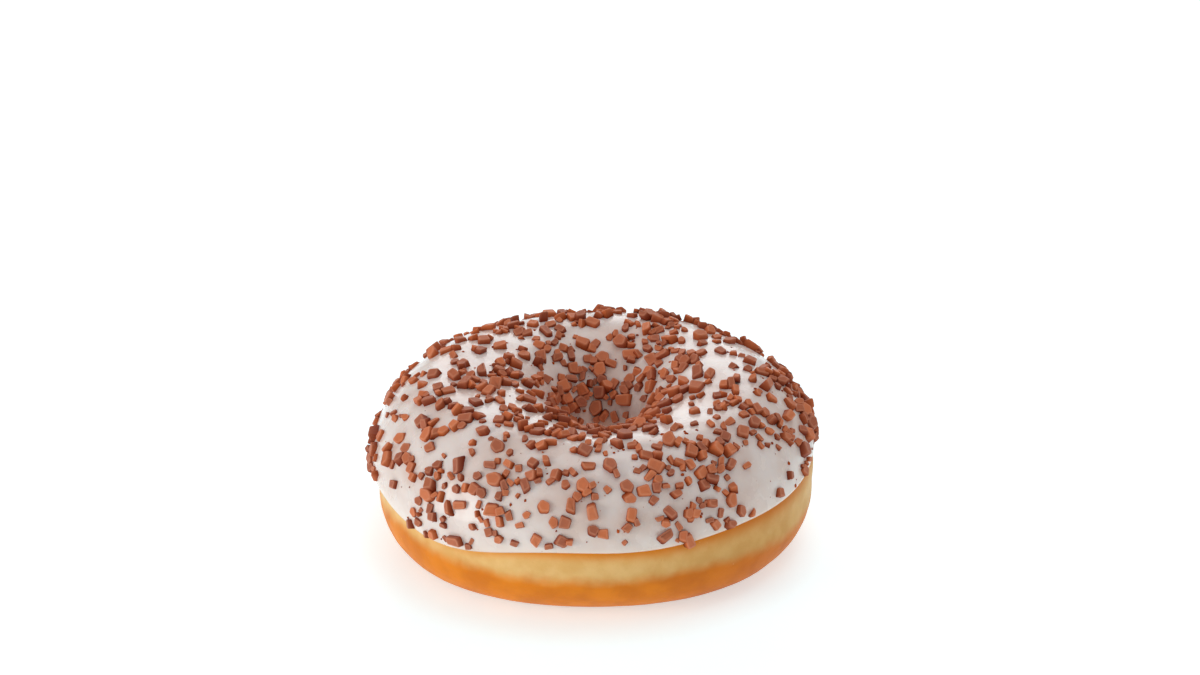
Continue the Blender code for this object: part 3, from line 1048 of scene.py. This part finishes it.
@dataclass
class Chips:
    """The strewn chocolate chips, joined as one piece."""

    rule: StrewingRule = field(default_factory=StrewingRule)
    lay_seed: int = 51
    tone_seed: int = 43
    kinds: int = 24
    flatness: Pair = (0.75, 1.30)
    lean: float = 0.20
    most_lean: float = 0.50
    touching: float = 0.45
    climbing: float = 2.2
    perch_height: float = 0.28
    perch_tilt: float = 0.7
    tones: Pair = (0.5, 0.28)

    def turn_and_size(self, draw: random.Random, site: Site) -> tuple[Matrix, Matrix]:
        """Draws how a chip is turned and leans on the icing, and its size in each direction."""
        yaw, flatness = draw.uniform(0, math.tau), draw.uniform(*self.flatness)
        leans = (draw.gauss(0, self.lean) for _ in range(2))
        lean_x, lean_y = (max(-self.most_lean, min(self.most_lean, lean)) for lean in leans)
        lean = Matrix.Rotation(lean_x, 4, "X") @ Matrix.Rotation(lean_y, 4, "Y")
        turn = lean @ Matrix.Rotation(yaw, 4, "Z")
        return turn, Matrix.Diagonal((site.length, site.length, site.length * flatness, 1))

    def perch(self, sites: Sequence[Site], number: int) -> tuple[float, Matrix]:
        """How a small chip lies on a larger one that it meets.

        Args:
            sites: All the sites.
            number: The small chip's number.

        Returns:
            How far it is lifted, and how it is turned.
        """
        site = sites[number]
        normal = self.rule.icing.normal(site.angle, site.share)
        lift, turned = 0.0, Matrix.Identity(4)
        for other in sites[: self.rule.cast_count]:
            way = other.place - site.place
            reach = self.touching * (site.length + other.length)
            if 1e-9 < way.length < reach:
                overlap = min(1.0, self.climbing * (1 - way.length / reach))
                lift = self.perch_height * other.length * overlap
                axis = way.normalized().cross(normal)
                turned = Matrix.Rotation(self.perch_tilt * (1 - overlap), 4, axis)
                break
        return lift, turned

    def build(self) -> bpy.types.Object:
        """Copies the moulds to their sites.

        Returns:
            The piece.
        """
        moulds = [Mould(kind).build() for kind in range(self.kinds)]
        sites = self.rule.sites()
        draw, tones = random.Random(self.lay_seed), random.Random(self.tone_seed)
        copies = []
        for number, site in enumerate(sites):
            kind = draw.randrange(self.kinds)
            turn, size = self.turn_and_size(draw, site)
            lift, turned = self.perch(sites, number) if number >= self.rule.cast_count else (0.0, Matrix())
            normal = self.rule.icing.normal(site.angle, site.share)
            onward = Vector((-math.sin(site.angle), math.cos(site.angle), 0))
            stand = Matrix((onward, normal.cross(onward), normal)).transposed().to_4x4()
            place = Matrix.Translation(site.place + normal * lift) @ turned @ stand @ turn @ size
            copies.append((moulds[kind], place, clamp(tones.gauss(*self.tones))))
        LOG.info("chips: %d of %d", len(sites), self.rule.count)
        piece = join_copies("chocolate_chips", copies)
        for mould in moulds:
            bpy.data.meshes.remove(mould)
        return piece

    def dress(self, piece: bpy.types.Object) -> None:
        """Gives the chips their chocolate."""
        finish_piece(piece, ChocolateFinish().make(), Slot.CHOCOLATE, "icing")


@dataclass
class Crumbs:
    """Cocoa crumbs, much smaller than the chips and strewn between them."""

    rule: StrewingRule = field(default_factory=StrewingRule)
    seed: int = 5
    count: int = 420
    kinds: int = 4
    smallest: float = 0.25 * MM
    largest: float = 0.85 * MM
    fineness: float = 1.7
    flatness: float = 0.7
    bumpiness: Pair = (0.65, 1.15)
    everywhere: float = 0.15
    tones: Pair = (0.1, 0.7)

    def nugget(self, kind: int) -> bpy.types.Mesh:
        """Models one kind of crumb, one unit across: a ball with its corners pushed in and out."""
        draw = random.Random(self.seed + kind)
        deselect()
        bpy.ops.mesh.primitive_ico_sphere_add(subdivisions=1, radius=0.5)
        crumb = bpy.context.object
        for vertex in crumb.data.vertices:
            vertex.co *= draw.uniform(*self.bumpiness)
            vertex.co.z *= self.flatness
        bpy.ops.object.shade_smooth()
        for name in ("rim", "low"):
            mark(crumb, name, [0.0] * len(crumb.data.vertices))
        mesh = crumb.data
        bpy.data.objects.remove(crumb)
        return mesh

    def build(self) -> bpy.types.Object:
        """Strews the crumbs, more of them where there are more chips.

        Returns:
            The piece.
        """
        nuggets = [self.nugget(kind) for kind in range(self.kinds)]
        draw = random.Random(self.seed)
        icing = self.rule.icing
        middles = self.rule.middles()
        copies = []
        while len(copies) < self.count:
            angle, share = draw.uniform(-math.pi, math.pi), draw.uniform(*self.rule.shares)
            chance = draw.random()
            place = icing.point(angle, share)
            abundance = self.everywhere + self.rule.abundance(share, place, middles)
            if chance > abundance * Vector(place.xy).length / icing.ring.belt:
                continue
            size = self.smallest + (self.largest - self.smallest) * draw.random() ** self.fineness
            turn = Matrix.Rotation(draw.uniform(0, math.tau), 4, "Z")
            stand = icing.normal(angle, share).to_track_quat("Z", "Y").to_matrix().to_4x4()
            where = Matrix.Translation(place) @ stand @ turn @ Matrix.Scale(size, 4)
            copies.append((nuggets[draw.randrange(self.kinds)], where, draw.uniform(*self.tones)))
        piece = join_copies("cocoa_crumbs", copies)
        for nugget in nuggets:
            bpy.data.meshes.remove(nugget)
        return piece

    def dress(self, piece: bpy.types.Object) -> None:
        """Gives the crumbs their chocolate."""
        finish_piece(piece, ChocolateFinish(roughness=0.6).make(), Slot.CHOCOLATE)


@dataclass(frozen=True)
class SoftBox:
    """A square studio light that faces the doughnut."""

    name: str
    place: Vector
    side: float
    watts: float
    colour: Colour = (1.0, 1.0, 1.0)

    def build(self) -> None:
        """Hangs the light."""
        deselect()
        aim = (LIT_POINT - self.place).to_track_quat("-Z", "Y")
        bpy.ops.object.light_add(type="AREA", location=self.place, rotation=aim.to_euler())
        light = bpy.context.object
        light.name = self.name
        light.data.shape = "SQUARE"
        light.data.size = self.side
        light.data.energy = self.watts
        light.data.color = self.colour


@dataclass
class Studio:
    """The floor, the lights and the camera.

    The camera is aimed at a point over the middle of the ring, which falls on the pixel named here.
    """

    frame_width: int = 1200
    frame_height: int = 675
    sensor: float = 36.0
    aim: Vector = field(default_factory=lambda: Vector((0, 0, 18 * MM)))
    aim_pixel: Pair = (593.3, 445.6)
    elevation: float = math.radians(25.9)
    distance: float = 0.8
    focal_pixels: float = 3975.0
    floor_side: float = 12.0
    floor_drop: float = 0.05 * MM
    sky: Colour = (1.0, 0.97, 0.94)
    sky_strength: float = 0.46
    nearest: float = 0.05
    boxes: tuple[SoftBox, ...] = (
        SoftBox("left", Vector((-0.90, -0.39, 0.24)), 0.5, 3.65, (1.0, 0.975, 0.94)),
        SoftBox("back", Vector((0, 1.0, 0.5)), 0.7, 2.7, (0.97, 0.985, 1.0)),
        SoftBox("top", Vector((0.25, 0.2, 1.05)), 0.8, 2.5, (0.95, 0.98, 1.0)),
    )

    def build_camera(self) -> None:
        """Sets the camera where the photograph's stood, aimed so that the doughnut falls on its pixel."""
        away = Vector((0, -math.cos(self.elevation), math.sin(self.elevation)))
        data = bpy.data.cameras.new("camera")
        data.sensor_width = self.sensor
        data.lens = self.focal_pixels / self.frame_width * self.sensor
        data.clip_start = self.nearest
        camera = bpy.data.objects.new("camera", data)
        bpy.context.scene.collection.objects.link(camera)
        camera.location = self.aim + away * self.distance
        right = math.atan((self.frame_width / 2 - self.aim_pixel[0]) / self.focal_pixels)
        up = math.atan((self.aim_pixel[1] - self.frame_height / 2) / self.focal_pixels)
        look = (-away).to_track_quat("-Z", "Y").to_matrix().to_4x4()
        look = look @ Matrix.Rotation(up, 4, "X") @ Matrix.Rotation(-right, 4, "Y")
        camera.rotation_euler = look.to_euler()
        bpy.context.scene.camera = camera

    def build_floor(self) -> None:
        """Lays the floor, wide enough to fill the view."""
        deselect()
        bpy.ops.mesh.primitive_plane_add(size=self.floor_side, location=(0, 0, -self.floor_drop))
        floor = bpy.context.object
        floor.name = "studio_floor"
        floor.data.materials.append(FloorFinish().make())

    def build_lights(self) -> None:
        """Hangs the soft boxes and lights the sky."""
        for box in self.boxes:
            box.build()
        world = bpy.data.worlds.new("studio_sky")
        world.use_nodes = True
        sky = world.node_tree.nodes["Background"]
        sky.inputs["Color"].default_value = (*self.sky, 1.0)
        sky.inputs["Strength"].default_value = self.sky_strength
        bpy.context.scene.world = world
        bpy.context.scene.view_settings.view_transform = "Standard"


def main() -> None:
    """Builds the studio and then the doughnut."""
    logging.basicConfig(level=logging.INFO, format="%(message)s")
    studio = Studio()
    studio.build_camera()
    studio.build_floor()
    studio.build_lights()
    for part in (Dough(), Icing(), Chips(), Crumbs()):
        part.dress(part.build())


if __name__ == "__main__":
    main()
